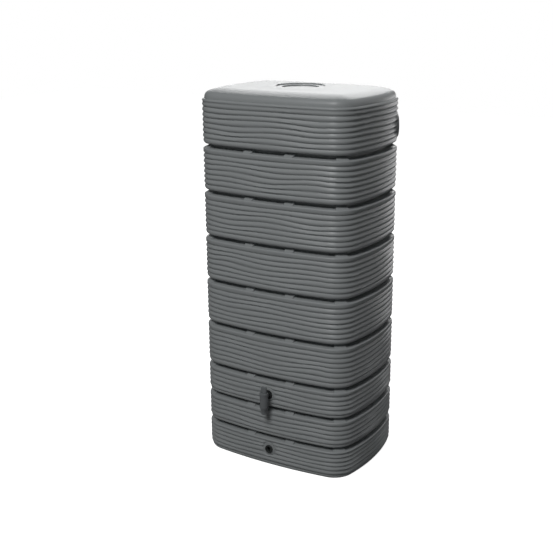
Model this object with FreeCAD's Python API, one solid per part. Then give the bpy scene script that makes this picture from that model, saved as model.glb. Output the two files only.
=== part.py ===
import FreeCAD, Part
import os
from math import asin, atan2, ceil, cos, degrees, pi, radians, sin, sqrt, tau

# Rainwater tank: a blow-moulded upright tank with banded, rippled walls, a screw lid
# in the middle of its top, a plug tap low on the front and a drain plug at the foot.
# Millimetres. The origin is the middle of the underside, +Z is up, the tap faces -Y.

# Tank outline: four bulged faces and four corners, each an arc
width = 784.0
depth = 580.0
front_radius = 2300.0
side_radius = 880.0
corner_radius = 106.0
arc_chords = 3
wall = 4.0

# Bands, from the foot up: low ones, then high ones, with a groove between each two
low_band_height = 140.0
low_band_count = 3
high_band_height = 200.0
high_band_count = 6

# Foot edge
foot_inset = 18.0
foot_height = 40.0
foot_chords = 2

# Groove between two bands
groove_depth = 40.0
groove_mouth = 18.0
groove_floor = 8.0
lip_radius = 6.0
lip_chords = 1
roll_radius = 14.0
roll_chords = 2

# Webs that bridge the grooves
web_width = 44.0
web_inset = 32.0
web_spacing = 200.0
web_bite = 2.0

# Ripples on the bands: they stand at most this far apart, and swing up and down in each face
ripple_pitch = 21.5
ripple_margin = 1.0
ripple_depth = 5.0
wave_height = 5.0
wave_turn = 2.1

# Top
rim_radius = 8.0
rim_chords = 2
rim_ledge = 2.0
shoulder_radius = 35.0
shoulder_rise = 33.0
shoulder_chords = 3
crown_inset = 100.0
crown_rise = 12.0
crown_swell = 0.2

# Lid well, the low cone round it and the neck
well_radius = 105.0
well_rise = 6.0
well_spread = 70.0
neck_bore = 88.0
neck_length = 30.0

# Lid
lid_gap = 2.0
lid_drop = 5.0
lid_flange = 5.0
lid_wall = 3.0
dish_radius = 79.0
dish_depth = 5.5
skirt_length = 22.0
thread_gap = 1.2
lid_seal_thickness = 2.0
lid_seal_width = 9.0

# Flat round pads on the walls
pad_radius = 30.0
tap_pad_inset = 1.0
drain_pad_inset = 4.0
pad_depth = 24.0
connector_radius = 50.0
connector_angle = 33.0
connector_proud = 2.5
connector_below_rim = 122.0

# Tap
tap_below_band_middle = 2.0
tap_standoff = 36.0
spigot_radius = 13.2
spigot_length = 32.0
hole_gap = 0.5
gasket_radius = 20.5
gasket_thickness = 4.0
collar_radius = 16.0
collar_thickness = 4.0
tap_neck_radius = 9.0
barrel_radius = 18.5
barrel_above = 15.0
barrel_below = 47.0
taper_length = 20.0
nozzle_radius = 12.5
nozzle_length = 12.0
water_bore = 6.5
outlet_step = 1.0
chamber_radius = 12.1
plug_gap = 0.1
plug_below = 11.0
plug_head_radius = 16.0
plug_head = 2.5
cap_radius = 19.8
cap_top = 2.5
stem_radius = 8.0
stem_gap = 0.4
handle_width = 28.0
handle_thickness = 9.0
handle_height = 30.0
handle_corner = 7.0
locknut_across = 38.0
locknut_thickness = 9.0
tap_seal_thickness = 2.0

# Drain plug
drain_above_band_middle = 11.0
drain_bore = 15.0
drain_boss_wall = 5.0
drain_boss_length = 12.0
drain_head_radius = 18.5
drain_head = 5.0
drain_cup_radius = 12.0
drain_cup_depth = 8.0
drain_bar = 5.0
drain_bar_recess = 1.0
drain_shank_length = 18.0
drain_shank_wall = 2.4
drain_seal_thickness = 1.5

# Places worked out from the sizes above
ORIGIN = FreeCAD.Vector(0, 0, 0)
UP = FreeCAD.Vector(0, 0, 1)
BACK = FreeCAD.Vector(0, 1, 0)
low_top = low_band_height * low_band_count
grooves = [low_band_height * (i + 1) for i in range(low_band_count)]
grooves += [low_top + high_band_height * (i + 1) for i in range(high_band_count - 1)]
rim_z = low_top + high_band_height * high_band_count
shoulder_inset = rim_radius + rim_ledge + shoulder_radius
crown_z = rim_z + shoulder_rise + crown_rise
top_z = crown_z + well_rise
skin = ripple_depth + wall
front = -depth / 2
lid_top = top_z - lid_drop
well_floor = lid_top - lid_flange - lid_seal_thickness
tap_face = front + tap_pad_inset
drain_face = front + drain_pad_inset
tap_z = low_band_height * (low_band_count - 0.5) - tap_below_band_middle
tap_y = front - tap_standoff
drain_z = low_band_height / 2 + drain_above_band_middle


def facing(angle):
    """Level direction at this angle, anticlockwise from +X."""
    return FreeCAD.Vector(cos(angle), sin(angle), 0)


def corner_middle():
    """Centre of the rear right corner's arc, which runs on smoothly from the faces beside it."""
    back = FreeCAD.Vector(0, depth / 2 - front_radius, 0)
    across = FreeCAD.Vector(width / 2 - side_radius, 0, 0) - back
    far = front_radius - corner_radius
    near = side_radius - corner_radius
    along = (far ** 2 - near ** 2 + across.Length ** 2) / (2 * across.Length)
    across.normalize()
    return back + across * along + across.cross(UP) * sqrt(far ** 2 - along ** 2)


def plan_arcs():
    """Arcs of the outline, anticlockwise: the faces, then the corners, as (centre, radius, start, end)."""
    corner = corner_middle()
    side_half = atan2(corner.y, corner.x + side_radius - width / 2)
    front_half = atan2(corner.x, corner.y + front_radius - depth / 2)
    faces = []
    corners = []
    for quarter in range(4):
        turn = quarter * pi / 2
        half, other = (front_half, side_half) if quarter % 2 else (side_half, front_half)
        radius, reach = (front_radius, depth / 2) if quarter % 2 else (side_radius, width / 2)
        faces.append((facing(turn) * (reach - radius), radius, turn - half, turn + half))
        side = 1 if quarter in (0, 3) else -1
        end = 1 if quarter < 2 else -1
        middle = FreeCAD.Vector(side * corner.x, end * corner.y, 0)
        corners.append((middle, corner_radius, turn + half, turn + pi / 2 - other))
    return faces, corners


face_arcs, corner_arcs = plan_arcs()


def cylinder(radius, start, end, base=ORIGIN, axis=UP):
    """Round bar along axis, from start to end measured from base."""
    return Part.makeCylinder(radius, end - start, base + axis * start, axis)


def turned(profile, base=ORIGIN, axis=UP):
    """Solid turned from closed (radius, height) points about an axis through base."""
    across = FreeCAD.Vector(1, 0, 0)
    points = [base + across * r + axis * h for r, h in profile + profile[:1]]
    return Part.Face(Part.makePolygon(points)).revolve(base, axis, 360)


def outline(inset, z, wave=None):
    """Corner points of a closed line round the tank, drawn in by inset.

    Each arc is a few chords that touch it from outside. If there is a wave, the faces rise
    and fall with it.
    """
    points = []
    for number, arcs in enumerate(zip(face_arcs, corner_arcs)):
        for centre, radius, start, end in arcs:
            reach = radius - inset
            swell = 1 / cos((end - start) / arc_chords / 2)
            points.append(centre + facing(start) * reach + UP * z)
            for k in range(1, arc_chords):
                share = k / arc_chords
                lift = 0
                if wave is not None and radius > corner_radius:
                    phase = wave + wave_turn * (number + 1 - len(face_arcs)) + pi * share
                    lift = wave_height * sin(phase) * reach / radius
                out = facing(start + (end - start) * share)
                points.append(centre + out * reach * swell + UP * (z + lift))
    return points


def face(points):
    """Flat face with these corners."""
    return Part.Face(Part.makePolygon(points + points[:1]))


def stacked(rings):
    """Closed solid through outlines from the bottom one to the top one."""
    outlines = [outline(*ring) for ring in rings]
    faces = [face(outlines[0]), face(outlines[-1])]
    for low, high in zip(outlines, outlines[1:]):
        for a, b, c, d in zip(low, low[1:] + low[:1], high[1:] + high[:1], high):
            faces.append(face([a, b, c, d]))
    shell = Part.makeShell(faces)
    shell.sewShape()
    solid = Part.Solid(shell)
    if solid.Volume < 0:
        solid.reverse()
    return solid


def edge_round(radius, chords):
    """Steps (in, up) along a quarter round, from the wall to the flat."""
    angles = [pi / 2 * k / chords for k in range(chords + 1)]
    return [(radius * (1 - cos(a)), radius * sin(a)) for a in angles]


def groove_rings(z):
    """Outside of a groove: tight lip, flank, floor, flank and the soft edge above."""
    mouth_low = z - groove_mouth / 2
    mouth_high = z + groove_mouth / 2
    lip = [(i, mouth_low - lip_radius + up) for i, up in edge_round(lip_radius, lip_chords)]
    floor = [(groove_depth, z - groove_floor / 2), (groove_depth, z + groove_floor / 2)]
    roll = [(i, mouth_high + roll_radius - up) for i, up in edge_round(roll_radius, roll_chords)]
    return lip + floor + roll[::-1]


def ripple_rings(z_low, z_high, wave):
    """Ridges and hollows of one band, all on the same wave."""
    low = z_low + wave_height + ripple_margin
    high = z_high - wave_height - ripple_margin
    count = ceil((high - low) / ripple_pitch)
    pitch = (high - low) / count
    rings = [(0, low, wave)]
    for k in range(count):
        rings.append((ripple_depth, low + pitch * (k + 0.5), wave))
        rings.append((0, low + pitch * (k + 1), wave))
    return rings


def foot_rings():
    """Rounded edge of the underside."""
    angles = [pi / 2 * k / foot_chords for k in range(foot_chords + 1)]
    return [(foot_inset * (1 - sin(a)), foot_height * (1 - cos(a))) for a in angles]


def outside():
    """Outside of the tank before its top is opened."""
    rings = foot_rings()
    for number, z in enumerate(grooves):
        groove = groove_rings(z)
        rings += ripple_rings(rings[-1][1], groove[0][1], number * pi)
        rings += groove
    rim = [(i, rim_z - rim_radius + up) for i, up in edge_round(rim_radius, rim_chords)]
    rings += ripple_rings(rings[-1][1], rim[0][1], len(grooves) * pi)
    rings += rim + shoulder_rings(0) + crown_rings(0)
    return stacked(rings)


def shoulder_rings(thickness):
    """Rounded shoulder above the rim, drawn in by the wall's thickness."""
    rings = []
    for k in range(shoulder_chords + 1):
        angle = pi / 2 * k / shoulder_chords
        inset = shoulder_inset - (shoulder_radius - thickness) * cos(angle)
        rings.append((inset, rim_z + (shoulder_rise - thickness) * sin(angle)))
    return rings


def crown_rings(thickness):
    """Gentle crown of the top, up to its flat middle."""
    middle = (shoulder_inset + crown_inset) / 2
    middle_z = crown_z - crown_rise * (0.5 - crown_swell)
    return [(middle, middle_z - thickness), (crown_inset, crown_z - thickness)]


def cavity():
    """Hollow inside the tank. It follows the grooves and leaves the ripples in the wall."""
    rings = [(foot_inset + wall, wall), (skin, foot_height + wall)]
    for z in grooves:
        low = z - groove_mouth / 2 - lip_radius
        high = z + (groove_mouth + roll_radius) / 2
        reach = groove_floor / 2 + wall
        deep = groove_depth + wall
        rings += [(skin, low), (deep, z - reach), (deep, z + reach), (skin, high)]
    rings.append((skin, rim_z - rim_radius))
    rings += shoulder_rings(wall) + crown_rings(wall)
    return stacked(rings)


def web(centre, radius, angle, z):
    """Block that bridges a groove, at this angle on one arc of the outline."""
    long = groove_depth - web_inset + web_bite
    high = groove_floor + 2 * web_bite + wall
    corner = FreeCAD.Vector(radius - web_inset - long, -web_width / 2, -high / 2)
    block = Part.makeBox(long, web_width, high, corner)
    block.rotate(ORIGIN, UP, degrees(angle))
    block.translate(centre + UP * z)
    return block


def webs():
    """Two webs on the front and the back and one on each corner, in every groove."""
    aside = asin(web_spacing / 2 / front_radius)
    blocks = []
    for z in grooves:
        for centre, radius, start, end in face_arcs[1::2]:
            for side in (-aside, aside):
                blocks.append(web(centre, radius, (start + end) / 2 + side, z))
        for centre, radius, start, end in corner_arcs:
            blocks.append(web(centre, radius, (start + end) / 2, z))
    return blocks


def front_pads(start, end):
    """Round blocks behind the tap and the drain plug, from start to end outward of their face."""
    middles = [FreeCAD.Vector(0, tap_face, tap_z), FreeCAD.Vector(0, drain_face, drain_z)]
    return [cylinder(pad_radius, start, end, middle, -BACK) for middle in middles]


def connector_pads():
    """Flat round pad for a connector on each rear corner, under the rim."""
    blocks = []
    angles = (radians(connector_angle), pi - radians(connector_angle))
    for (centre, radius, start, end), angle in zip(corner_arcs, angles):
        out = facing(angle)
        middle = centre + out * (radius + connector_proud) + UP * (rim_z - connector_below_rim)
        blocks.append(cylinder(connector_radius, -pad_depth - connector_proud, 0, middle, out))
    return blocks


def tank_body():
    """Blow-moulded tank, with its lid well and neck, tap hole and threaded drain boss."""
    edge = well_radius + wall
    cone = Part.makeCone(edge + well_spread, edge, well_rise, UP * crown_z)
    shell = outside().fuse([cone] + webs() + front_pads(-skin, 0) + connector_pads())
    pan = cylinder(edge, well_floor - wall, top_z)
    neck = cylinder(neck_bore + wall, well_floor - neck_length, top_z)
    drain = UP * drain_z
    boss_end = front + skin + drain_boss_length
    boss = cylinder(drain_bore + drain_boss_wall, drain_face, boss_end, drain, BACK)
    hollow = cavity().cut([pan, neck, boss])
    well = cylinder(well_radius, well_floor, top_z + wall)
    mouth = cylinder(neck_bore, well_floor - neck_length - wall, top_z)
    tap_hole = cylinder(spigot_radius + hole_gap, front - wall, front + skin + wall, UP * tap_z, BACK)
    drain_hole = cylinder(drain_bore, front - wall, boss_end + wall, drain, BACK)
    return shell.cut([hollow, well, mouth, tap_hole, drain_hole] + front_pads(0, skin))


def lid():
    """Screw lid: a dished disc with a flange that covers the neck and a threaded skirt."""
    under = lid_top - lid_flange
    floor = lid_top - dish_depth
    skirt = neck_bore - thread_gap
    bottom = under - skirt_length
    inner = skirt - lid_wall
    profile = [(0, floor), (dish_radius, floor), (dish_radius, lid_top), (well_radius - lid_gap, lid_top),
               (well_radius - lid_gap, under), (skirt, under), (skirt, bottom), (inner, bottom),
               (inner, floor - lid_wall), (0, floor - lid_wall)]
    return turned(profile)


def lid_seal():
    """Flat rubber ring between the lid's flange and the floor of the well."""
    outer = neck_bore + lid_seal_width
    return cylinder(outer, well_floor, well_floor + lid_seal_thickness).cut(
        cylinder(neck_bore, well_floor, well_floor + lid_seal_thickness))


def tap_axis():
    """Foot of the tap's upright axis, level with its inlet."""
    return FreeCAD.Vector(0, tap_y, tap_z)


def tap_body():
    """Moulded tap body: threaded spigot, collar, neck and a barrel that narrows to the nozzle."""
    bottom = -barrel_below - taper_length - nozzle_length
    profile = [(0, barrel_above), (barrel_radius, barrel_above), (barrel_radius, -barrel_below),
               (nozzle_radius, -barrel_below - taper_length), (nozzle_radius, bottom), (0, bottom)]
    barrel = turned(profile, tap_axis())
    inlet = UP * tap_z
    back_of_collar = tap_face - gasket_thickness
    neck = cylinder(tap_neck_radius, tap_y, back_of_collar, inlet, BACK)
    collar = cylinder(collar_radius, back_of_collar - collar_thickness, back_of_collar, inlet, BACK)
    spigot = cylinder(spigot_radius, back_of_collar, back_of_collar + spigot_length, inlet, BACK)
    body = barrel.fuse([neck, collar, spigot])
    inlet_bore = cylinder(water_bore, tap_y, back_of_collar + spigot_length, inlet, BACK)
    outlet_bore = cylinder(water_bore + outlet_step, bottom, 0, tap_axis())
    chamber = cylinder(chamber_radius, -plug_below - tap_seal_thickness, barrel_above, tap_axis())
    return body.cut([inlet_bore, outlet_bore, chamber])


def tap_gasket():
    """Thick rubber ring between the tap's collar and the wall."""
    inlet = UP * tap_z
    ring = cylinder(gasket_radius, tap_face - gasket_thickness, tap_face, inlet, BACK)
    return ring.cut(cylinder(spigot_radius, tap_face - gasket_thickness, tap_face, inlet, BACK))


def tap_locknut():
    """Six-sided nut on the spigot, inside the tank."""
    start = front + skin
    radius = locknut_across / 2 / cos(pi / 6)
    angles = [tau * k / 6 for k in range(6)]
    nut = face([FreeCAD.Vector(radius * cos(a), start, tap_z + radius * sin(a)) for a in angles])
    nut = nut.extrude(BACK * locknut_thickness)
    return nut.cut(cylinder(spigot_radius, start, start + locknut_thickness, UP * tap_z, BACK))


def tap_plug():
    """Turning plug of the tap, with its head, stem and grip moulded on.

    Closed, its side port faces along the wall. A quarter turn brings it to the inlet.
    """
    axis = tap_axis()
    core = cylinder(chamber_radius - plug_gap, -plug_below, barrel_above, axis)
    head = cylinder(plug_head_radius, barrel_above, barrel_above + plug_head, axis)
    cap_face = barrel_above + plug_head + cap_top
    stem = cylinder(stem_radius, barrel_above + plug_head, cap_face + wall, axis)
    low = cap_face + stem_gap
    grip = Part.makeBox(handle_width, handle_thickness, handle_height,
                        axis + FreeCAD.Vector(-handle_width / 2, -handle_thickness / 2, low))
    middle_z = grip.CenterOfMass.z
    shoulders = [e for e in grip.Edges if abs(e.tangentAt(0).y) > 0.9 and e.CenterOfMass.z > middle_z]
    grip = grip.makeFillet(handle_corner, shoulders)
    plug = core.fuse([head, stem, grip])
    side_port = cylinder(water_bore, 0, chamber_radius, axis, FreeCAD.Vector(1, 0, 0))
    down_port = cylinder(water_bore, -plug_below, 0, axis)
    return plug.cut([side_port, down_port])


def tap_cap():
    """Ribbed cap nut that holds the plug down on the barrel."""
    top = barrel_above + plug_head + cap_top
    low = tap_neck_radius + stem_gap
    inner = barrel_radius
    profile = [(inner, low), (cap_radius, low), (cap_radius, top), (stem_radius + stem_gap, top),
               (stem_radius + stem_gap, top - cap_top), (inner, top - cap_top)]
    return turned(profile, tap_axis())


def tap_seal():
    """Rubber ring in the foot of the chamber, under the plug."""
    low = -plug_below - tap_seal_thickness
    ring = cylinder(chamber_radius - plug_gap, low, -plug_below, tap_axis())
    return ring.cut(cylinder(water_bore + outlet_step, low, -plug_below, tap_axis()))


def drain_plug():
    """Hollow screw plug with a cupped head and a bar across it to turn it by."""
    base = UP * drain_z
    seat = drain_face - drain_seal_thickness
    shank_radius = drain_bore - thread_gap / 2
    head = cylinder(drain_head_radius, seat - drain_head, seat, base, BACK)
    shank = cylinder(shank_radius, seat, seat + drain_shank_length, base, BACK)
    cup = cylinder(drain_cup_radius, seat - drain_head, seat - drain_head + drain_cup_depth, base, BACK)
    corner = FreeCAD.Vector(-drain_bar / 2, seat - drain_head + drain_bar_recess, drain_z - drain_cup_radius)
    bar = Part.makeBox(drain_bar, drain_cup_depth, 2 * drain_cup_radius, corner)
    bottom = seat - drain_head + drain_cup_depth + drain_shank_wall
    hollow = cylinder(shank_radius - drain_shank_wall, bottom, seat + drain_shank_length, base, BACK)
    return head.fuse(shank).cut([cup.cut(bar), hollow])


def drain_seal():
    """Rubber ring under the drain plug's head."""
    base = UP * drain_z
    ring = cylinder(drain_head_radius, drain_face - drain_seal_thickness, drain_face, base, BACK)
    return ring.cut(cylinder(drain_bore, drain_face - drain_seal_thickness, drain_face, base, BACK))


PARTS = {
    "tank_body": tank_body,
    "lid": lid,
    "lid_seal": lid_seal,
    "tap_body": tap_body,
    "tap_gasket": tap_gasket,
    "tap_locknut": tap_locknut,
    "tap_plug": tap_plug,
    "tap_cap": tap_cap,
    "tap_seal": tap_seal,
    "drain_plug": drain_plug,
    "drain_seal": drain_seal,
}

os.makedirs("parts", exist_ok=True)
for name, make in PARTS.items():
    make().exportStep(os.path.join("parts", name + ".step"))
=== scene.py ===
from math import asin, atan2, cos, pi, radians, sin, tan, tau

import bmesh
import bpy
import numpy as np
from bpy.props import FloatProperty, FloatVectorProperty, IntProperty, PointerProperty
from mathutils import Euler, Matrix, Vector


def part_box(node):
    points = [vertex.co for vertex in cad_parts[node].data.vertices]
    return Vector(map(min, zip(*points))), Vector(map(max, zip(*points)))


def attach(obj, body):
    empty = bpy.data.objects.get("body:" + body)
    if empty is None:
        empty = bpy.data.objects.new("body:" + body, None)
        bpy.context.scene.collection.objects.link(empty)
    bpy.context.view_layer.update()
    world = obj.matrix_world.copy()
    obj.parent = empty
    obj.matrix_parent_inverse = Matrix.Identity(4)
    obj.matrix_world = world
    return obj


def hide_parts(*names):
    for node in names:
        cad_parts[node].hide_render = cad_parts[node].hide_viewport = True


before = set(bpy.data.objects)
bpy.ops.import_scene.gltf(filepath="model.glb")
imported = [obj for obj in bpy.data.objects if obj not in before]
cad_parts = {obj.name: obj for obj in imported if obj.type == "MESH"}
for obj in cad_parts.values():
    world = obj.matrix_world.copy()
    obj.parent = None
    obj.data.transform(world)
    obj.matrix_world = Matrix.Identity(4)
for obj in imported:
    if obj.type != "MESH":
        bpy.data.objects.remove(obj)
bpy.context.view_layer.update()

bl_info = {
    "name": "Rainwater tank",
    "version": (1, 0, 0),
    "blender": (4, 5, 0),
    "location": "View3D > Sidebar > Rainwater tank",
    "description": "Builds the skin, lid, tap and drain plug of a rainwater tank round its solids",
    "category": "Add Mesh",
}

TANK_LOW, TANK_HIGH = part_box("tank_body")
GASKET_LOW, GASKET_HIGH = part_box("tap_gasket")
BARREL_LOW, BARREL_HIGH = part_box("tap_body")
CAP_LOW, CAP_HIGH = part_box("tap_cap")
PLUG_LOW, PLUG_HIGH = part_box("tap_plug")
DRAIN_LOW, DRAIN_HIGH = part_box("drain_plug")
RING_LOW, RING_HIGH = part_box("drain_seal")
LID_LOW, LID_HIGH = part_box("lid")
SEAL_LOW, SEAL_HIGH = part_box("lid_seal")
UP = Vector((0, 0, 1))
OUT = Vector((0, -1, 0))

# Arcs of the outline that carry webs, counted from the right side anticlockwise
BACK, FRONT = 2, 6
# Steps between the skin's upright lines: on the sides, on front and back, and in their middle
SIDE_STEP = 0.018
FACE_STEP = 0.016
PAD_STEPS = {FRONT: 0.006, BACK: 0.018}
PAD_ZONE = 0.048
# Steps on a web, round a corner as an angle, and over a web's edge at once
WEB_STEP = 0.02
CORNER_STEP = 0.085
ONE_STEP = 1
# Half the width of a web's upright edge
WEB_EDGE = 0.0012
# Share of the waves on the sides and corners
CALM = 0.4
# Band number of a row on no band, and of the row at the foot of a groove's floor
NO_BAND = -1
TOOTH = -2
# Rows of one ridge: share of the pitch, and how deep the hollow is there
RIDGE = ((0, 0), (0.26, 0.2), (0.5, 0.75), (0.64, 1), (0.8, 0.5))
# Flat pads: how far the skin lies under them, and the reach round them in which it is drawn flat
PAD_UNDER = 0.0025
PAD_REACH = 0.03
PAD_MARGIN = 0.001
PAD_FADE = 0.006
# How far a cutting tool reaches past the surface
PAST = 0.01
# Gap between faces that turn on each other, and the wider one round the tap's stem
FIT = 0.0001
PLAY = 0.0004
# Thickness of the cap's top, and of the plug's head under it
PLATE = 0.0025


def length(name, description, default):
    """Property for one length of the object, in metres."""
    return FloatProperty(name=name, description=description, default=default, min=0,
                         unit="LENGTH", precision=4)


def lengths(name, description, default):
    """Property for a few lengths that go together."""
    return FloatVectorProperty(name=name, description=description, default=default, min=0,
                               size=len(default), unit="LENGTH", precision=4)


def rotation(name, description, default):
    """Property for one angle."""
    return FloatProperty(name=name, description=description, default=default, unit="ROTATION")


def colour(name, description, default):
    """Property for one colour."""
    return FloatVectorProperty(name=name, description=description, default=default, min=0, max=1,
                               size=3, subtype="COLOR")


class TankSizes(bpy.types.PropertyGroup):
    """Sizes of the blown tank."""
    front_radius: length("Front radius", "Radius of the bulged front and back", 2.3)
    side_radius: length("Side radius", "Radius of the bulged sides", 0.88)
    corner: length("Corner radius", "Radius of the four upright corners", 0.106)
    wall: length("Wall", "Thickness of the wall behind the ripples", 0.004)
    low_band: length("Low band", "Height from groove to groove of the low bands", 0.14)
    low_count: IntProperty(name="Low bands", description="Number of low bands", default=3, min=1)
    high_band: length("High band", "Height from groove to groove of the high bands", 0.2)
    high_count: IntProperty(name="High bands", description="Number of high bands", default=6, min=1)
    foot_inset: length("Foot inset", "How far the underside is drawn in", 0.018)
    foot_height: length("Foot height", "Height of the rounded foot edge", 0.04)
    groove: length("Groove depth", "Depth of the grooves between bands", 0.04)
    mouth: length("Groove mouth", "Height of a groove at its mouth", 0.02)
    floor: length("Groove floor", "Height of a groove at its floor", 0.014)
    lip: length("Lip radius", "Edge radius on top of each band", 0.006)
    roll: length("Roll height", "Height of the soft edge under each band", 0.021)
    roll_depth: length("Roll depth", "How far this edge is drawn in", 0.011)
    web_width: length("Web width", "Width of the webs that bridge the grooves", 0.044)
    web_inset: length("Web inset", "How far the webs stand back", 0.032)
    web_spacing: length("Web spacing", "Distance between the two webs of a face", 0.2)
    tooth_inset: length("Tooth inset", "How far the low foot of each web stands back", 0.02)
    tooth_rise: length("Tooth rise", "Height of this foot over the groove's floor", 0.005)
    ripple: length("Ripple depth", "Depth of the hollows between ridges", 0.0066)
    pitch: lengths("Ripple pitch",
                   "Height from ridge to ridge in the foot band, the low and the high bands",
                   (0.02, 0.0215, 0.0223))
    first: lengths("First ridge",
                   "Height of the lowest ridge over the ground or the groove's middle, likewise",
                   (0.025, 0.031, 0.0405))
    fade: length("Fade", "Height over which the ripples begin and end", 0.008)
    start: rotation("Ripple start", "Turn of the soft edge at which the ripples begin", radians(36))
    wave: length("Wave height", "How far the ridges wander up and down", 0.005)
    rim: length("Rim radius", "Edge radius of the top rim", 0.008)
    ledge: length("Rim ledge", "Flat between the rim and the shoulder", 0.002)
    shoulder: length("Shoulder radius", "Radius of the shoulder", 0.035)
    shoulder_rise: length("Shoulder rise", "Height of the shoulder over the rim", 0.033)
    fullness: FloatProperty(name="Shoulder fullness", description="1 is a plain round, less is fuller",
                            default=0.86)
    shoulder_turn: rotation("Shoulder turn", "Turn at which the shoulder runs into the crown",
                            radians(67))
    crown: length("Crown inset", "Where the flat middle of the top begins", 0.1)
    crown_rise: length("Crown rise", "Height of the crown over the shoulder", 0.012)
    well: length("Well radius", "Radius of the lid well", 0.105)
    spread: length("Cone spread", "How far the low cone reaches out from the well", 0.07)
    neck: length("Neck radius", "Bore of the neck", 0.088)
    neck_length: length("Neck length", "Length of the neck under the well's floor", 0.03)
    pad: length("Pad radius", "Radius of the flat pads for tap and drain plug", 0.03)
    connector: length("Connector pad", "Radius of the pads on the rear corners", 0.05)
    connector_drop: length("Connector drop", "Distance of these pads under the rim", 0.122)
    connector_proud: length("Connector proud", "How far these pads stand out of the corner", 0.001)
    connector_angle: rotation("Connector angle", "Turn of these pads from the side to the back",
                              radians(33))
    connector_depth: length("Connector depth", "How far these pads reach into the wall", 0.012)
    tap_hole: length("Tap hole", "Radius of the hole for the tap", 0.0137)
    drain_hole: length("Drain hole", "Radius of the threaded hole for the drain plug", 0.015)
    boss: length("Drain boss", "Length of the threaded boss inside the wall", 0.012)
    boss_wall: length("Boss wall", "Thickness of this boss round its hole", 0.005)


class TapSizes(bpy.types.PropertyGroup):
    """Sizes of the tap and the drain plug."""
    collar: length("Collar radius", "Radius of the collar against the gasket", 0.016)
    neck: length("Neck radius", "Radius of the neck between collar and barrel", 0.009)
    spigot: length("Spigot radius", "Radius of the threaded spigot", 0.0132)
    nozzle: length("Nozzle radius", "Radius of the narrow end", 0.0125)
    nozzle_length: length("Nozzle length", "Length of the straight narrow end", 0.012)
    taper: length("Taper", "Length of the taper above the nozzle", 0.02)
    bore: length("Water bore", "Radius of the inlet and the plug's ports", 0.0065)
    outlet: length("Outlet bore", "Radius of the outlet", 0.0075)
    chamber: length("Chamber radius", "Radius of the plug's chamber", 0.0121)
    stem: length("Stem radius", "Radius of the plug's stem", 0.008)
    grip_width: length("Grip width", "Width of the grip", 0.028)
    grip_thickness: length("Grip thickness", "Thickness of the grip", 0.009)
    grip_height: length("Grip height", "Height of the grip", 0.03)
    cup: length("Cup radius", "Radius of the cup in the drain plug's head", 0.012)
    cup_depth: length("Cup depth", "Depth of the cup", 0.008)
    bar: length("Bar", "Width of the bar across the cup", 0.005)
    dish: length("Dish radius", "Radius of the dish in the lid", 0.079)
    dish_depth: length("Dish depth", "Depth of the dish", 0.0055)


class TankColours(bpy.types.PropertyGroup):
    """Colours of the plastics and rubbers, and the floor."""
    tank: colour("Tank", "Dark grey plastic of the tank", (0.115, 0.125, 0.128))
    tap: colour("Tap", "Darker plastic of the tap", (0.014, 0.016, 0.018))
    black: colour("Black plastic", "Black plastic of the drain plug", (0.014, 0.015, 0.015))
    rubber: colour("Rubber", "Black rubber of the rings", (0.004, 0.004, 0.0045))
    stage: colour("Floor", "Pale floor and backdrop", (0.9, 0.9, 0.9))


class TankView(bpy.types.PropertyGroup):
    """Place, direction and lens of the camera."""
    place: FloatVectorProperty(name="Camera", description="Place of the camera", size=3, unit="LENGTH",
                               default=(2.0721, -3.6343, 2.0808))
    yaw: rotation("Yaw", "Turn of the camera from the front", 0.5164)
    pitch: rotation("Pitch", "Tilt of the camera downwards", 0.2935)
    lens: FloatProperty(name="Lens", description="Focal length in millimetres", default=62.79)
    shift: FloatProperty(name="Shift", description="Sideways shift of the picture", default=-0.0465)


def sizes():
    """Sizes of the tank in the scene."""
    return bpy.context.scene.tank_sizes


def tap_sizes():
    """Sizes of the tap and the drain plug in the scene."""
    return bpy.context.scene.tap_sizes


def colours():
    """Colours in the scene."""
    return bpy.context.scene.tank_colours


# Shapes

def quarter_round(radius, count):
    """Steps (in, up) along a quarter round, from the wall to the flat."""
    angles = [pi / 2 * k / count for k in range(count + 1)]
    return [(radius * (1 - cos(a)), radius * sin(a)) for a in angles]


def ladder(*stretches):
    """Positions along stretches (start, end, step) that follow on each other."""
    stops = [stretches[0][0]]
    for start, end, step in stretches:
        count = max(1, round((end - start) / step))
        stops += [start + (end - start) * (k + 1) / count for k in range(count)]
    return stops


def mirrored(half):
    """Positions on both sides of zero, from those on one side of it."""
    return [-x for x in reversed(half)] + half[1:]


def new_object(name, points, faces):
    """Mesh object of these points and faces, put into the scene."""
    mesh = bpy.data.meshes.new(name)
    mesh.from_pydata([tuple(p) for p in points], [], faces)
    mesh.validate()
    piece = bpy.data.objects.new(name, mesh)
    bpy.context.scene.collection.objects.link(piece)
    return piece


def smooth(piece, angle=40):
    """Smooth shading with edges over this angle kept sharp, and normals facing out."""
    mesh = piece.data
    work = bmesh.new()
    work.from_mesh(mesh)
    bmesh.ops.recalc_face_normals(work, faces=work.faces)
    work.to_mesh(mesh)
    work.free()
    mesh.polygons.foreach_set("use_smooth", [True] * len(mesh.polygons))
    mesh.set_sharp_from_angle(angle=radians(angle))
    mesh.update()


def rounded(corners, count=3):
    """Profile with its corners (r, h, radius) rounded off, each over less than half of its sides."""
    most = 0.49
    flattest = 0.05
    points = []
    total = len(corners)
    for k, (r, h, radius) in enumerate(corners):
        here = Vector((r, h))
        if radius <= 0:
            points.append(here)
            continue
        before = Vector(corners[k - 1][:2]) - here
        after = Vector(corners[(k + 1) % total][:2]) - here
        half = before.angle(after) / 2
        reach = min(radius / max(flattest, abs(sin(half) / cos(half))),
                    before.length * most, after.length * most)
        start = here + before.normalized() * reach
        end = here + after.normalized() * reach
        for i in range(count + 1):
            share = i / count
            points.append(start * (1 - share) ** 2 + here * 2 * share * (1 - share) + end * share ** 2)
    return [(p.x, p.y) for p in points]


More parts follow.
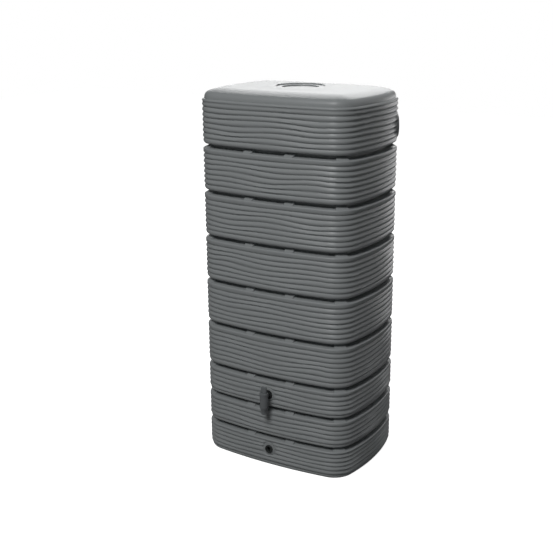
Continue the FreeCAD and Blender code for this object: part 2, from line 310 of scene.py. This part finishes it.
def lathe(name, profile, base, axis, segments=64):
    """Closed solid turned from a closed profile of (radius, height)."""
    turn = UP.rotation_difference(axis).to_matrix().to_4x4()
    place = Matrix.Translation(base) @ turn
    points = []
    rings = []
    for r, h in profile:
        if r < 1e-6:
            rings.append([len(points)] * segments)
            points.append(place @ Vector((0, 0, h)))
        else:
            rings.append(list(range(len(points), len(points) + segments)))
            for k in range(segments):
                a = tau * k / segments
                points.append(place @ Vector((r * cos(a), r * sin(a), h)))
    faces = []
    for low, high in zip(rings, rings[1:] + rings[:1]):
        for k in range(segments):
            n = (k + 1) % segments
            quad = [low[k], low[n], high[n], high[k]]
            face = [v for i, v in enumerate(quad) if v not in quad[:i]]
            if len(face) > 2:
                faces.append(face)
    return new_object(name, points, faces)


def combine(piece, tool, operation):
    """Adds another closed solid to a piece or cuts it away, and deletes it."""
    for item in (piece, tool):
        smooth(item)
    change = piece.modifiers.new(operation, "BOOLEAN")
    change.operation = operation
    change.solver = "MANIFOLD"
    change.object = tool
    bpy.context.view_layer.update()
    graph = bpy.context.evaluated_depsgraph_get()
    result = bpy.data.meshes.new_from_object(piece.evaluated_get(graph))
    if len(result.polygons) == 0:
        raise RuntimeError(f"{piece.name}: {operation} with {tool.name} left nothing")
    piece.modifiers.clear()
    old = piece.data
    piece.data = result
    result.name = piece.name
    bpy.data.meshes.remove(old)
    bpy.data.objects.remove(tool)


def finish_piece(piece, material, body, node, angle=45):
    """Gives a piece its material and edges, puts it under its body, and hides the solid it stands for.
    """
    piece.data.materials.clear()
    piece.data.materials.append(material)
    piece.data.polygons.foreach_set("material_index", [0] * len(piece.data.polygons))
    smooth(piece, angle)
    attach(piece, body)
    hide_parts(node)


def bar(name, radius, start, end, base, axis, segments=48):
    """Plain round bar, for cutting and joining."""
    return lathe(name, [(0, start), (radius, start), (radius, end), (0, end)], base, axis, segments)


# Blown skin of the tank

def band_edges(size):
    """Middle heights of the grooves, and the height of the rim."""
    low_top = size.low_band * size.low_count
    grooves = [size.low_band * (k + 1) for k in range(size.low_count)]
    grooves += [low_top + size.high_band * (k + 1) for k in range(size.high_count - 1)]
    return grooves, low_top + size.high_band * size.high_count


def plan_arcs(size):
    """Arcs of the outline, from the right side anticlockwise: centre, radius, start and end angle."""
    half_x, half_y = TANK_HIGH.x, TANK_HIGH.y
    back = Vector((0, half_y - size.front_radius))
    across = Vector((half_x - size.side_radius, 0)) - back
    far = size.front_radius - size.corner
    near = size.side_radius - size.corner
    along = (far ** 2 - near ** 2 + across.length ** 2) / (2 * across.length)
    across.normalize()
    corner = back + across * along + Vector((across.y, -across.x)) * (far ** 2 - along ** 2) ** 0.5
    side_half = atan2(corner.y, corner.x + size.side_radius - half_x)
    front_half = atan2(corner.x, corner.y + size.front_radius - half_y)
    arcs = []
    for quarter in range(4):
        turn = quarter * pi / 2
        half, other = (front_half, side_half) if quarter % 2 else (side_half, front_half)
        radius, reach = (size.front_radius, half_y) if quarter % 2 else (size.side_radius, half_x)
        middle = Vector((cos(turn), sin(turn))) * (reach - radius)
        arcs.append((middle, radius, turn - half, turn + half))
        middle = Vector((corner.x if quarter in (0, 3) else -corner.x,
                         corner.y if quarter < 2 else -corner.y))
        arcs.append((middle, size.corner, turn + half, turn + pi / 2 - other))
    return arcs


def columns(size):
    """Upright lines round the tank: place, outward direction, turn from the front, waves and web."""
    web_start = size.web_spacing / 2 - size.web_width / 2
    web_end = web_start + size.web_width
    webs = [(web_start - WEB_EDGE, web_start + WEB_EDGE, ONE_STEP),
            (web_start + WEB_EDGE, web_end - WEB_EDGE, WEB_STEP),
            (web_end - WEB_EDGE, web_end + WEB_EDGE, ONE_STEP)]
    web_angle = asin(size.web_width / 2 / (size.corner - size.web_inset))
    turn = WEB_EDGE / (size.corner - size.web_inset)
    lines = []
    run = 0
    for number, (middle, radius, start, end) in enumerate(plan_arcs(size)):
        half = (end - start) / 2
        rounded_corner = number % 2 == 1
        webbed_face = number in (BACK, FRONT)
        if rounded_corner:
            steps = ladder((0, web_angle - turn, CORNER_STEP),
                           (web_angle - turn, web_angle + turn, ONE_STEP),
                           (web_angle + turn, half, CORNER_STEP))
        elif webbed_face:
            steps = ladder((0, PAD_ZONE, PAD_STEPS[number]),
                           (PAD_ZONE, web_start - WEB_EDGE, FACE_STEP), *webs,
                           (web_end + WEB_EDGE, half * radius, FACE_STEP))
            steps = [s / radius for s in steps]
        else:
            steps = [s / radius for s in ladder((0, half * radius, SIDE_STEP))]
        for turned in mirrored(steps)[:-1]:
            angle = (start + end) / 2 + turned
            out = Vector((cos(angle), sin(angle)))
            place = middle + out * radius
            if rounded_corner:
                share = CALM
                inside = abs(turned) < web_angle
            else:
                share = 1 if webbed_face else CALM
                share += (CALM - share) * abs(turned / half) ** 6
                inside = webbed_face and web_start < abs(turned * radius) < web_end
            lines.append((*place, *out, run + (turned + half) * radius, share, inside))
        if number == FRONT:
            middle_run = run + half * radius
        run += 2 * half * radius
    lines = np.array(lines)
    lines[:, 4] = tau * (lines[:, 4] - middle_run) / run
    return lines


def edge_in(share):
    """How far a soft lower edge is drawn in, from 1 at its foot to 0 at its top."""
    return 1 - (1 - (1 - min(1, share)) ** 2) ** 0.5


def outer_rows(size):
    """Rows of the outside up to the crown: inset, height, hollow, band, low and high end."""
    grooves, rim_z = band_edges(size)
    plain = (0, NO_BAND, 0, 1)
    faintest = 0.25
    rows = []
    base, reach, rise, ground = 0, size.foot_inset, size.foot_height, 0
    for band, middle in enumerate(grooves + [rim_z]):
        kind = 0 if band == 0 else 1 if band < size.low_count else 2
        for k in range(5):
            share = 1 - cos(k * size.start / 4)
            rows.append((reach * edge_in(share), base + rise * share, *plain))
        low = rows[-1][1]
        top = rim_z - size.rim if middle == rim_z else middle - size.mouth / 2 - size.lip
        z = ground + size.first[kind] - size.pitch[kind]
        while z < top:
            for share, hollow in RIDGE:
                height = z + size.pitch[kind] * share
                near = min(1, (height - low) / size.fade, (top - height) / size.fade)
                if near > faintest:
                    inset = reach * edge_in((height - base) / rise)
                    rows.append((inset, height, hollow * near, band, low, top))
            z += size.pitch[kind]
        rows.append((0, top, *plain))
        if middle == rim_z:
            break
        rows += [(i, top + up, *plain) for i, up in quarter_round(size.lip, 3)[1:]]
        rows += [(size.groove, middle - size.floor / 2, 0, TOOTH, 0, 1),
                 (size.groove, middle + size.floor / 2, *plain)]
        base, reach, rise, ground = middle + size.mouth / 2, size.roll_depth, size.roll, middle
    rows += [(i, rim_z - size.rim + up, *plain) for i, up in quarter_round(size.rim, 4)[1:]]
    centre = size.rim + size.ledge + size.shoulder
    shoulder_steps = 10
    for k in range(shoulder_steps + 1):
        angle = size.shoulder_turn * k / shoulder_steps
        rows.append((centre - size.shoulder * cos(angle) ** size.fullness,
                     rim_z + size.shoulder_rise * sin(angle) ** size.fullness, *plain))
    start_inset, start_z = rows[-1][:2]
    reach = size.crown - start_inset
    rise = rim_z + size.shoulder_rise + size.crown_rise - start_z
    slope = size.shoulder_rise / size.shoulder / tan(size.shoulder_turn) ** (2 - size.fullness)
    crown_steps = 7
    for k in range(1, crown_steps + 1):
        share = k / crown_steps
        climbed = rise * (1 - (1 - share) ** (slope * reach / rise))
        rows.append((start_inset + reach * share, start_z + climbed, *plain))
    return np.array(rows)


def inner_rows(size):
    """Rows of the hollow from the crown down to the floor: inset and height."""
    grooves, rim_z = band_edges(size)
    skin = size.ripple + size.wall
    centre = size.rim + size.ledge + size.shoulder
    shoulder_z = rim_z + size.shoulder_rise - size.wall
    rows = [(size.crown, shoulder_z + size.crown_rise),
            ((centre + size.crown) / 2, shoulder_z + size.crown_rise * 0.7)]
    for k in range(4, -1, -1):
        angle = pi / 2 * k / 4
        rows.append((centre - (size.shoulder - size.wall) * cos(angle),
                     rim_z + (size.shoulder_rise - size.wall) * sin(angle)))
    rows.append((skin, rim_z - size.rim))
    for middle in grooves[::-1]:
        reach = size.floor / 2 + size.wall
        rows += [(skin, middle + (size.mouth + size.roll) / 2),
                 (size.groove + size.wall, middle + reach), (size.groove + size.wall, middle - reach),
                 (skin, middle - size.mouth / 2 - size.lip)]
    rows += [(skin, size.foot_height + size.wall), (size.foot_inset + size.wall, size.wall)]
    return rows


def wander(turn, height, band, low, high, wave):
    """How far a ridge has wandered up or down, in waves whose counts and starts are given."""
    share = np.clip((height - low) / (high - low), 0, 1)
    calm = np.sin(pi * share) ** 1.3 * np.minimum(1, (high - low) / 0.16)
    lines = (-1.0) ** band * np.cos(5 * turn - 0.2)
    lines += 0.3 * np.sin(7 * turn - tau * share + 1.9 * band)
    lines -= 0.6 * np.sin(2 * tau * share) * np.cos(3 * (turn - 0.75))
    return wave * calm * lines


def pad_places(size):
    """Centre, outward direction and radius of each flat pad."""
    tap = Vector((0, GASKET_HIGH.y, (GASKET_LOW.z + GASKET_HIGH.z) / 2))
    drain = Vector((0, RING_HIGH.y, (DRAIN_LOW.z + DRAIN_HIGH.z) / 2))
    places = [(tap, OUT.copy(), size.pad), (drain, OUT.copy(), size.pad)]
    height = band_edges(size)[1] - size.connector_drop
    turns = (size.connector_angle, pi - size.connector_angle)
    for (middle, radius, start, end), angle in zip(plan_arcs(size)[1:5:2], turns):
        out = Vector((cos(angle), sin(angle), 0))
        place = middle.to_3d() + out * (radius + size.connector_proud) + UP * height
        places.append((place, out, size.connector))
    return places


def skin_points(size):
    """Grid of points over the whole shell, outside and inside, row by row."""
    x, y, out_x, out_y, turn, share, web = columns(size).T
    inset, height, hollow, band, low, high = [c[:, None] for c in outer_rows(size).T]
    depth = size.ripple * hollow * (0.86 + 0.14 * np.sin(7 * turn + band * 2.1 + height * 9))
    z = height + (band >= 0) * wander(turn, height, band, low, high, size.wave) * share
    bridged = (inset > size.web_inset) & (web > 0) & (height < band_edges(size)[1])
    tooth = bridged & (band == TOOTH)
    reach = np.where(bridged, size.web_inset, inset)
    reach = np.where(tooth, size.tooth_inset, reach) + depth
    z = z + tooth * size.tooth_rise
    px = x - out_x * reach
    py = y - out_y * reach
    for centre, out, radius in pad_places(size):
        dx, dy, dz = px - centre.x, py - centre.y, z - centre.z
        off = dx * out.x + dy * out.y
        away = np.sqrt(np.maximum(0, dx ** 2 + dy ** 2 - off ** 2) + dz ** 2)
        faded = 1 - np.clip((away - radius - PAD_MARGIN) / PAD_FADE, 0, 1)
        near = (np.abs(off) < PAD_REACH) * faded ** 1.5
        flat = -PAD_UNDER - off
        px = px + out.x * flat * near
        py = py + out.y * flat * near
    grid = [np.stack([px[k], py[k], z[k]], 1) for k in range(len(px))]
    crown = grid[-1]
    crown_z = crown[0, 2]
    angle = np.arctan2(crown[:, 1], crown[:, 0])

    def ring(radius, z_ring):
        return np.stack([radius * np.cos(angle), radius * np.sin(angle), np.full(len(x), z_ring)], 1)

    top = TANK_HIGH.z
    floor = SEAL_LOW.z
    edge = 0.0015
    mouth = ring(size.well + edge, top)
    steps = 5
    for k in range(1, steps):
        between = crown * (1 - k / steps) + mouth * k / steps
        out_share = (np.hypot(between[:, 0], between[:, 1]) - size.well - size.wall) / size.spread
        between[:, 2] = crown_z + (top - crown_z) * (1 - np.clip(out_share, 0, 1))
        grid.append(between)
    grid.append(mouth)
    for a in (pi / 4, pi / 2):
        grid.append(ring(size.well + edge * (1 - sin(a)), top - edge * (1 - cos(a))))
    grid += [ring(size.well, floor + edge), ring(size.well - edge, floor),
             ring(size.neck + edge, floor), ring(size.neck, floor - edge)]
    under = floor - size.wall
    bottom = floor - size.neck_length
    grid += [ring(size.neck, bottom), ring(size.neck + size.wall, bottom),
             ring(size.neck + size.wall, under), ring(size.well + size.wall, under),
             ring(size.well + size.wall, crown_z - size.wall)]
    for inward, z_row in inner_rows(size):
        grid.append(np.stack([x - out_x * inward, y - out_y * inward, np.full(len(x), z_row)], 1))
    return grid


def tank_skin(size):
    """The blown shell as one closed mesh."""
    grid = skin_points(size)
    count = len(grid[0])
    points = np.concatenate(grid + [[(0, 0, TANK_LOW.z)], [(0, 0, TANK_LOW.z + size.wall)]])
    faces = []
    for row in range(len(grid) - 1):
        start = row * count
        for k in range(count):
            n = (k + 1) % count
            faces.append((start + k, start + n, start + count + n, start + count + k))
    bottom = len(grid) * count
    last = (len(grid) - 1) * count
    for k in range(count):
        n = (k + 1) % count
        faces.append((n, k, bottom))
        faces.append((last + k, last + n, bottom + 1))
    return new_object("tank_skin", points, faces)


class RAINTANK_OT_skin(bpy.types.Operator):
    """Blown shell with its bands, grooves, webs, ripples, lid well and pads"""
    bl_idname = "raintank.skin"
    bl_label = "Tank skin"

    def execute(self, context):
        size = sizes()
        skin = tank_skin(size)
        back = size.ripple + size.wall
        for number, (centre, out, radius) in enumerate(pad_places(size)):
            on_front = number < 2
            depth = TANK_LOW.y + back - centre.y if on_front else size.connector_depth
            edge = 0.0012 if on_front else 0.0025
            profile = rounded([(0, -depth, 0), (radius, -depth, 0), (radius, 0, edge), (0, 0, 0)])
            combine(skin, lathe(f"pad_{number}", profile, centre, out, 72), "UNION")
        tap, drain = pad_places(size)[:2]
        inward = TANK_LOW.y + back + size.boss - drain[0].y
        boss = bar("boss", size.drain_hole + size.boss_wall, 0.002, inward, drain[0], -OUT)
        combine(skin, boss, "UNION")
        combine(skin, bar("tap_hole", size.tap_hole, -PAST, 0.03, tap[0], -OUT), "DIFFERENCE")
        combine(skin, bar("drain_hole", size.drain_hole, -PAST, 0.05, drain[0], -OUT), "DIFFERENCE")
        finish_piece(skin, tank_plastic(), "tank", "tank_body", 50)
        return {"FINISHED"}


# Lid, tap and drain plug

class RAINTANK_OT_lid(bpy.types.Operator):
    """Dished screw lid, and the ring under it"""
    bl_idname = "raintank.lid"
    bl_label = "Lid"

    def execute(self, context):
        tap = tap_sizes()
        top = LID_HIGH.z
        outer = LID_HIGH.x
        under = SEAL_HIGH.z
        gap = 0.0012
        wall = 0.003
        skirt = sizes().neck - gap
        floor = top - tap.dish_depth
        profile = rounded([
            (0, floor, 0), (tap.dish, floor, 0.003), (tap.dish, top, 0.0016), (outer, top, 0.0018),
            (outer, under, 0.0008), (skirt, under, 0), (skirt, LID_LOW.z, 0.001),
            (skirt - wall, LID_LOW.z, 0.001), (skirt - wall, floor - wall, 0.002),
            (0, floor - wall, 0)])
        lid = lathe("lid_cover", profile, Vector(), UP, 128)
        finish_piece(lid, tank_plastic(), "lid", "lid")
        finish_node(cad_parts["lid_seal"], black_rubber())
        return {"FINISHED"}


def finish_node(node, material):
    """Gives a solid that stays as it is its material and smooth shading."""
    node.data.materials.clear()
    node.data.materials.append(material)
    node.data.polygons.foreach_set("use_smooth", [True] * len(node.data.polygons))
    node.data.set_sharp_from_angle(angle=radians(35))


class RAINTANK_OT_tap(bpy.types.Operator):
    """Tap body, cap, turning plug with its grip, and the rings and nut on the spigot"""
    bl_idname = "raintank.tap"
    bl_label = "Tap"

    def execute(self, context):
        tap = tap_sizes()
        middle = (GASKET_LOW.z + GASKET_HIGH.z) / 2
        axis = Vector((0, (PLUG_LOW.y + PLUG_HIGH.y) / 2, 0))
        barrel_radius = BARREL_HIGH.x
        face = GASKET_LOW.y
        plug_bottom = PLUG_LOW.z
        seal_room = 0.002
        head_low = CAP_HIGH.z - 2 * PLATE
        bottom = BARREL_LOW.z
        shoulder = bottom + tap.nozzle_length + tap.taper
        profile = rounded([
            (0, bottom, 0), (tap.nozzle, bottom, 0.0012),
            (tap.nozzle, bottom + tap.nozzle_length, 0.006),
            (barrel_radius, shoulder, 0.012), (barrel_radius, head_low, 0.0008), (0, head_low, 0)], 5)
        body = lathe("tap_shell", profile, axis, UP, 72)
        inlet = Vector((0, face, middle))
        along = inlet.y - axis.y
        neck = rounded([
            (0, -BARREL_HIGH.y + face, 0), (tap.spigot, -BARREL_HIGH.y + face, 0.001),
            (tap.spigot, 0, 0),
            (tap.neck, 0, 0), (tap.neck, along, 0), (0, along, 0)], 4)
        combine(body, lathe("inlet", neck, inlet, OUT, 64), "UNION")
        combine(body, bar("inlet_bore", tap.bore, -0.04, along, inlet, OUT), "DIFFERENCE")
        combine(body, bar("outlet_bore", tap.outlet, bottom - PAST, middle, axis, UP), "DIFFERENCE")
        chamber = bar("chamber", tap.chamber, plug_bottom - seal_room, head_low + PAST, axis, UP)
        combine(body, chamber, "DIFFERENCE")
        finish_piece(body, tap_plastic(), "tank", "tap_body")
        thick = 0.004
        flange = rounded([(tap.neck, 0, 0), (tap.collar, 0, 0.0008), (tap.collar, thick, 0.0015),
                          (tap.neck + 0.001, thick, 0.0005), (tap.neck, 0.003, 0)], 4)
        collar = lathe("tap_collar", flange, inlet, OUT, 64)
        finish_piece(collar, black_plastic(), "tank", "tap_body")
        self.cap(axis)
        self.plug(axis, middle, plug_bottom, head_low)
        finish_node(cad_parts["tap_gasket"], black_rubber())
        finish_node(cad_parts["tap_locknut"], black_plastic())
        finish_node(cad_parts["tap_seal"], black_rubber())
        return {"FINISHED"}

    def cap(self, axis):
        """Cap nut with fine upright ribs."""
        tap = tap_sizes()
        low, top = CAP_LOW.z, CAP_HIGH.z
        inner = BARREL_HIGH.x + FIT
        outer = CAP_HIGH.x
        hole = tap.stem + PLAY
        rib = 0.0006
        profile = rounded([
            (inner, low, 0), (outer, low, 0.0006), (outer, top, 0.002), (hole, top, 0.0005),
            (hole, top - PLATE, 0), (inner, top - PLATE, 0)])
        cap = lathe("tap_cap_nut", profile, axis, UP, 96)
        for vertex in cap.data.vertices:
            away = Vector((vertex.co.x - axis.x, vertex.co.y - axis.y))
            if away.length > outer - rib and vertex.index % 4 < 2:
                vertex.co.x -= away.normalized().x * rib
                vertex.co.y -= away.normalized().y * rib
        finish_piece(cap, tap_plastic(), "tank", "tap_cap", 35)

    def plug(self, axis, middle, low, head_low):
        """Plug with its ports, head, stem and a rounded grip."""
        tap = tap_sizes()
        core = tap.chamber - FIT
        head = PLUG_HIGH.y - axis.y
        grip_low = CAP_HIGH.z + PLAY
        stem_top = grip_low + 0.004
        profile = rounded([
            (0, low, 0), (core, low, 0.0005), (core, head_low, 0), (head, head_low, 0.0005),
            (head, head_low + PLATE, 0), (tap.stem, head_low + PLATE, 0),
            (tap.stem, stem_top, 0), (0, stem_top, 0)])
        plug = lathe("tap_turning_plug", profile, axis, UP, 72)
        grip = rounded_box("grip", (tap.grip_width, tap.grip_thickness, tap.grip_height), 0.003)
        grip.data.transform(Matrix.Translation(axis + UP * (grip_low + tap.grip_height / 2)))
        combine(plug, grip, "UNION")
        base = axis + UP * middle
        combine(plug, bar("side_port", tap.bore, 0, 0.02, base, Vector((1, 0, 0))), "DIFFERENCE")
        combine(plug, bar("down_port", tap.bore, -0.03, 0, base, UP), "DIFFERENCE")
        finish_piece(plug, tap_plastic(), "tap_plug", "tap_plug")


def rounded_box(name, size, radius):
    """Box with rounded edges and rounder upper corners, centred on the origin, in a set order."""
    top_radius = 0.007
    most = 0.35
    work = bmesh.new()
    bmesh.ops.create_cube(work, size=1)
    bmesh.ops.scale(work, vec=size, verts=work.verts)
    top = [e for e in work.edges if all(v.co.z > 0 for v in e.verts)
           and abs(e.verts[0].co.y - e.verts[1].co.y) > 1e-6]
    bmesh.ops.bevel(work, geom=top, offset=top_radius, segments=6, affect="EDGES", profile=0.5)
    sharp = [e for e in work.edges if e.calc_face_angle(0) > 0.5]
    bmesh.ops.bevel(work, geom=sharp, offset=min(radius, min(size) * most), segments=4,
                    affect="EDGES", profile=0.5)
    points = sorted((tuple(v.co) for v in work.verts), key=lambda point: [round(c, 7) for c in point])
    number = {point: k for k, point in enumerate(points)}
    faces = []
    for face in work.faces:
        loop = [number[tuple(v.co)] for v in face.verts]
        start = loop.index(min(loop))
        faces.append(loop[start:] + loop[:start])
    work.free()
    return new_object(name, points, sorted(faces))


class RAINTANK_OT_drain(bpy.types.Operator):
    """Drain plug with a cupped head and a bar, and the ring under it"""
    bl_idname = "raintank.drain"
    bl_label = "Drain plug"

    def execute(self, context):
        tap = tap_sizes()
        middle = (DRAIN_LOW.z + DRAIN_HIGH.z) / 2
        seat = RING_LOW.y
        base = Vector((0, seat, middle))
        head = DRAIN_HIGH.x
        gap = 0.0006
        wall = 0.0024
        sunk = 0.001
        shank = sizes().drain_hole - gap
        tall = seat - DRAIN_LOW.y
        depth = DRAIN_HIGH.y - seat
        floor = tall - tap.cup_depth
        profile = rounded([
            (0, floor, 0), (tap.cup, floor, 0.001), (tap.cup, tall, 0.001), (head, tall, 0.0018),
            (head, 0, 0.0005), (shank, 0, 0), (shank, -depth, 0.001), (shank - wall, -depth, 0.0005),
            (shank - wall, floor - wall, 0), (0, floor - wall, 0)])
        plug = lathe("drain_screw_plug", profile, base, OUT, 72)
        grip = rounded_box("bar", (tap.bar, tap.cup_depth, 2 * tap.cup + sunk), 0.0015)
        grip.data.transform(Matrix.Translation(base + OUT * (tall - sunk - tap.cup_depth / 2)))
        combine(plug, grip, "UNION")
        finish_piece(plug, black_plastic(), "drain_plug", "drain_plug")
        finish_node(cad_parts["drain_seal"], black_rubber())
        return {"FINISHED"}


# Materials

def plastic(name, base, roughness, grain, grain_depth, mottle):
    """Moulded plastic: fine grain, slow changes of tone by the share mottle, and uneven gloss."""
    known = bpy.data.materials.get(name)
    if known:
        return known
    material = bpy.data.materials.new(name)
    material.use_nodes = True
    nodes = material.node_tree.nodes
    links = material.node_tree.links
    shader = nodes["Principled BSDF"]
    shader.inputs["Specular IOR Level"].default_value = 0.35
    place = nodes.new("ShaderNodeTexCoord")
    slow = nodes.new("ShaderNodeTexNoise")
    slow.inputs["Scale"].default_value = 5
    slow.inputs["Detail"].default_value = 4
    links.new(place.outputs["Object"], slow.inputs["Vector"])
    tone = nodes.new("ShaderNodeValToRGB")
    tone.color_ramp.elements[0].position = 0.3
    tone.color_ramp.elements[1].position = 0.7
    tone.color_ramp.elements[0].color = (*[c * (1 - mottle) for c in base], 1)
    tone.color_ramp.elements[1].color = (*[c * (1 + mottle) for c in base], 1)
    links.new(slow.outputs["Fac"], tone.inputs["Fac"])
    links.new(tone.outputs["Color"], shader.inputs["Base Color"])
    gloss = nodes.new("ShaderNodeMapRange")
    gloss.inputs["To Min"].default_value = roughness - 0.04
    gloss.inputs["To Max"].default_value = roughness + 0.06
    fine = nodes.new("ShaderNodeTexNoise")
    fine.inputs["Scale"].default_value = grain
    fine.inputs["Detail"].default_value = 3
    links.new(place.outputs["Object"], fine.inputs["Vector"])
    links.new(fine.outputs["Fac"], gloss.inputs["Value"])
    links.new(gloss.outputs["Result"], shader.inputs["Roughness"])
    bump = nodes.new("ShaderNodeBump")
    bump.inputs["Strength"].default_value = 0.35
    bump.inputs["Distance"].default_value = grain_depth
    links.new(fine.outputs["Fac"], bump.inputs["Height"])
    links.new(bump.outputs["Normal"], shader.inputs["Normal"])
    return material


def tank_plastic():
    """Dark grey plastic of the shell and the lid."""
    return plastic("tank_plastic", colours().tank, roughness=0.34,
                   grain=420, grain_depth=0.0004, mottle=0.05)


def tap_plastic():
    """Darker plastic of the tap."""
    return plastic("tap_plastic", colours().tap, roughness=0.3,
                   grain=900, grain_depth=0.0002, mottle=0.06)


def black_plastic():
    """Black plastic of the drain plug, the tap's collar and its nut."""
    return plastic("black_plastic", colours().black, roughness=0.4,
                   grain=900, grain_depth=0.0002, mottle=0.1)


def black_rubber():
    """Dull black rubber of the rings."""
    return plastic("black_rubber", colours().rubber, roughness=0.6,
                   grain=1200, grain_depth=0.0002, mottle=0.1)


# Stage

class RAINTANK_OT_stage(bpy.types.Operator):
    """Pale floor, soft lamps, white background and the camera"""
    bl_idname = "raintank.stage"
    bl_label = "Stage"

    def execute(self, context):
        self.floor()
        self.world()
        self.lamp("front", place=(0.4, -6.0, 7.2), target=(0, 0, 0.7), size=3.0, power=310)
        self.lamp("rear_right", place=(1.2, 6.0, 1.1), target=(0, 0, 0.6), size=2.0, power=32)
        self.lamp("behind", place=(-2.4, 4.6, 4.0), target=(0, 0, 1.6), size=3.4, power=118)
        self.camera()
        return {"FINISHED"}

    def floor(self):
        """Pale floor, white to the camera but for the shadow, that throws little light back up."""
        half = 12
        corners = [(-half, -half, 0), (half, -half, 0), (half, half, 0), (-half, half, 0)]
        floor = new_object("floor", corners, [(0, 1, 2, 3)])
        material = bpy.data.materials.new("pale_floor")
        material.use_nodes = True
        nodes = material.node_tree.nodes
        links = material.node_tree.links
        shader = nodes["Principled BSDF"]
        shader.inputs["Base Color"].default_value = (*colours().stage, 1)
        shader.inputs["Roughness"].default_value = 0.8
        glow = nodes.new("ShaderNodeEmission")
        glow.inputs["Strength"].default_value = 0.96
        both = nodes.new("ShaderNodeAddShader")
        plain = nodes.new("ShaderNodeMixShader")
        rays = nodes.new("ShaderNodeLightPath")
        links.new(shader.outputs[0], both.inputs[0])
        links.new(glow.outputs[0], both.inputs[1])
        links.new(rays.outputs["Is Camera Ray"], plain.inputs[0])
        dull = nodes.new("ShaderNodeBsdfDiffuse")
        dull.inputs["Color"].default_value = (0.24, 0.24, 0.24, 1)
        links.new(dull.outputs[0], plain.inputs[1])
        links.new(both.outputs[0], plain.inputs[2])
        links.new(plain.outputs[0], nodes["Material Output"].inputs["Surface"])
        floor.data.materials.append(material)

    def world(self):
        """White room behind and to the right, duller elsewhere, and dim as plain light."""
        world = bpy.data.worlds.new("pale_room")
        bpy.context.scene.world = world
        world.use_nodes = True
        nodes = world.node_tree.nodes
        links = world.node_tree.links
        white = nodes["Background"]
        white.inputs["Color"].default_value = (1, 1, 1, 1)
        dim = nodes.new("ShaderNodeBackground")
        dim.inputs["Color"].default_value = (0.95, 0.97, 1, 1)
        dim.inputs["Strength"].default_value = 0.06
        room = nodes.new("ShaderNodeBackground")
        place = nodes.new("ShaderNodeTexCoord")
        toward = nodes.new("ShaderNodeVectorMath")
        toward.operation = "DOT_PRODUCT"
        toward.inputs[1].default_value = (0.4, 0.92, 0)
        level = nodes.new("ShaderNodeMapRange")
        level.interpolation_type = "SMOOTHSTEP"
        level.inputs["From Min"].default_value = 0.3
        level.inputs["From Max"].default_value = 0.8
        level.inputs["To Min"].default_value = 0.12
        rays = nodes.new("ShaderNodeLightPath")
        seen = nodes.new("ShaderNodeMath")
        seen.operation = "MAXIMUM"
        gloss = nodes.new("ShaderNodeMixShader")
        mix = nodes.new("ShaderNodeMixShader")
        links.new(place.outputs["Generated"], toward.inputs[0])
        links.new(toward.outputs["Value"], level.inputs["Value"])
        links.new(level.outputs["Result"], room.inputs["Strength"])
        links.new(rays.outputs["Is Glossy Ray"], gloss.inputs[0])
        links.new(dim.outputs[0], gloss.inputs[1])
        links.new(room.outputs[0], gloss.inputs[2])
        links.new(rays.outputs["Is Camera Ray"], seen.inputs[0])
        links.new(rays.outputs["Is Transmission Ray"], seen.inputs[1])
        links.new(seen.outputs[0], mix.inputs[0])
        links.new(gloss.outputs[0], mix.inputs[1])
        links.new(white.outputs[0], mix.inputs[2])
        links.new(mix.outputs[0], nodes["World Output"].inputs["Surface"])

    def lamp(self, name, place, target, size, power):
        """Square soft box at place, aimed at target."""
        data = bpy.data.lights.new(name, "AREA")
        data.shape = "SQUARE"
        data.size = size
        data.energy = power
        lamp = bpy.data.objects.new(name, data)
        lamp.location = place
        lamp.rotation_mode = "QUATERNION"
        lamp.rotation_quaternion = (Vector(target) - Vector(place)).to_track_quat("-Z", "Y")
        lamp.visible_camera = False
        bpy.context.scene.collection.objects.link(lamp)

    def camera(self):
        """Camera at the photograph's angle."""
        view = bpy.context.scene.tank_view
        data = bpy.data.cameras.new("camera")
        data.lens = view.lens
        data.sensor_width = 36
        data.shift_x = view.shift
        camera = bpy.data.objects.new("camera", data)
        camera.location = view.place
        camera.rotation_euler = Euler((pi / 2 - view.pitch, 0, view.yaw))
        bpy.context.scene.collection.objects.link(camera)
        bpy.context.scene.camera = camera
        bpy.context.scene.view_settings.view_transform = "Standard"


class RAINTANK_PT_panel(bpy.types.Panel):
    """Pieces of the rainwater tank"""
    bl_idname = "RAINTANK_PT_panel"
    bl_label = "Rainwater tank"
    bl_space_type = "VIEW_3D"
    bl_region_type = "UI"
    bl_category = "Rainwater tank"

    def draw(self, context):
        layout = self.layout
        for step in STEPS:
            layout.operator(step.bl_idname)
        for group in (sizes(), tap_sizes(), colours(), context.scene.tank_view):
            box = layout.box()
            for name in group.bl_rna.properties.keys():
                if name not in ("rna_type", "name"):
                    box.prop(group, name)


STEPS = (RAINTANK_OT_skin, RAINTANK_OT_lid, RAINTANK_OT_tap, RAINTANK_OT_drain, RAINTANK_OT_stage)
GROUPS = (("tank_sizes", TankSizes), ("tap_sizes", TapSizes),
          ("tank_colours", TankColours), ("tank_view", TankView))


def register():
    """Adds the groups of sizes, the operators and the panel."""
    for name, group in GROUPS:
        bpy.utils.register_class(group)
        setattr(bpy.types.Scene, name, PointerProperty(type=group))
    for step in STEPS + (RAINTANK_PT_panel,):
        bpy.utils.register_class(step)


def unregister():
    """Takes them out again."""
    for step in STEPS + (RAINTANK_PT_panel,):
        bpy.utils.unregister_class(step)
    for name, group in GROUPS:
        delattr(bpy.types.Scene, name)
        bpy.utils.unregister_class(group)


def main():
    """Makes every piece in order."""
    register()
    bpy.ops.raintank.skin()
    bpy.ops.raintank.lid()
    bpy.ops.raintank.tap()
    bpy.ops.raintank.drain()
    bpy.ops.raintank.stage()


if __name__ == "__main__":
    main()
